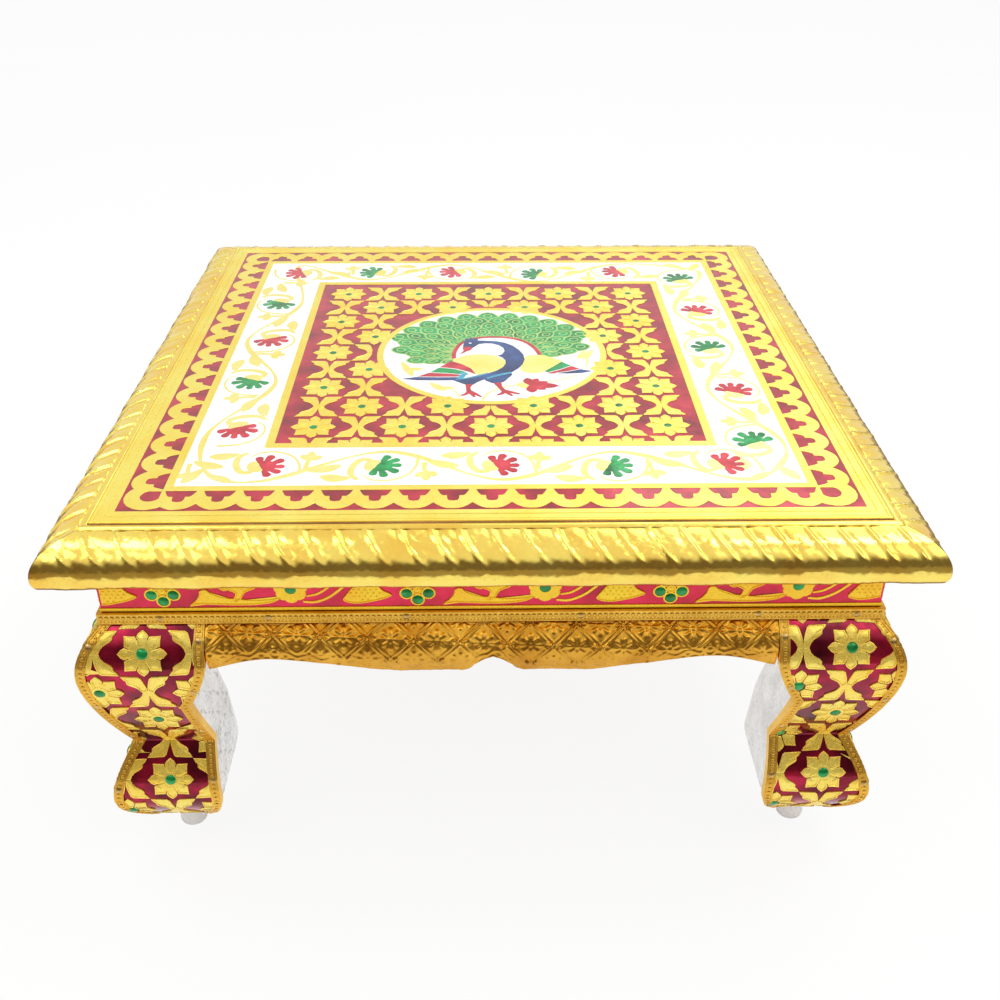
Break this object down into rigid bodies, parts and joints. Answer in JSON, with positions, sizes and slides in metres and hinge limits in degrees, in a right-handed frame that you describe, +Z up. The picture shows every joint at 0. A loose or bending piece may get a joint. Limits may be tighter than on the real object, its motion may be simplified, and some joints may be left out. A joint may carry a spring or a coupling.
{
  "type": "low table",
  "caption": "Low square table with shaped legs and aprons, clad in embossed and enamelled sheet metal, for a shrine, a gift tray or a floor seat.",
  "frame": {"origin": "on the floor, under the centre of the top", "axes": "+Z up, the front side faces -Y, +X to the right seen from the front"},
  "size_m": [0.3048, 0.3048, 0.1546],
  "materials": {
    "wood": "sawn softwood",
    "top_enamel": "enamelled in red, white and green over gold sheet",
    "red_enamel": "gloss red enamel with raised gold and green pattern",
    "gold_sheet": "polished, with slanting rope creases",
    "embossed_sheet": "embossed with a lattice of small flowers",
    "gold_strip": "beaded strip, nailed",
    "white_sheet": "embossed, dull",
    "bush_plastic": "moulded",
    "screw_steel": "plain"
  },
  "bodies": {
    "root": {"back_apron": "wood", "back_apron_sheet": "embossed_sheet", "back_batten": "wood", "back_board_screw": "screw_steel", "back_edge_sheet": "gold_sheet", "back_left_leg": "wood", "back_left_leg_back_edge_strip": "gold_strip", "back_left_leg_back_sheet": "red_enamel", "back_left_leg_bush": "bush_plastic", "back_left_leg_corner_strip": "gold_strip", "back_left_leg_left_edge_strip": "gold_strip", "back_left_leg_left_sheet": "red_enamel", "back_left_leg_lining": "white_sheet", "back_left_leg_screw": "screw_steel", "back_right_leg": "wood", "back_right_leg_back_edge_strip": "gold_strip", "back_right_leg_back_sheet": "red_enamel", "back_right_leg_bush": "bush_plastic", "back_right_leg_corner_strip": "gold_strip", "back_right_leg_lining": "white_sheet", "back_right_leg_right_edge_strip": "gold_strip", "back_right_leg_right_sheet": "red_enamel", "back_right_leg_screw": "screw_steel", "beaded_trim": "gold_strip", "enamelled_top_sheet": "top_enamel", "frieze_band": "red_enamel", "front_apron": "wood", "front_apron_sheet": "embossed_sheet", "front_batten": "wood", "front_board_screw": "screw_steel", "front_edge_sheet": "gold_sheet", "front_left_leg": "wood", "front_left_leg_bush": "bush_plastic", "front_left_leg_corner_strip": "gold_strip", "front_left_leg_front_edge_strip": "gold_strip", "front_left_leg_front_sheet": "red_enamel", "front_left_leg_left_edge_strip": "gold_strip", "front_left_leg_left_sheet": "red_enamel", "front_left_leg_lining": "white_sheet", "front_left_leg_screw": "screw_steel", "front_right_leg": "wood", "front_right_leg_bush": "bush_plastic", "front_right_leg_corner_strip": "gold_strip", "front_right_leg_front_edge_strip": "gold_strip", "front_right_leg_front_sheet": "red_enamel", "front_right_leg_lining": "white_sheet", "front_right_leg_right_edge_strip": "gold_strip", "front_right_leg_right_sheet": "red_enamel", "front_right_leg_screw": "screw_steel", "left_apron": "wood", "left_apron_sheet": "embossed_sheet", "left_batten": "wood", "left_board_screw": "screw_steel", "left_edge_sheet": "gold_sheet", "right_apron": "wood", "right_apron_sheet": "embossed_sheet", "right_batten": "wood", "right_board_screw": "screw_steel", "right_edge_sheet": "gold_sheet", "top_board": "wood"}
  },
  "joints": []
}
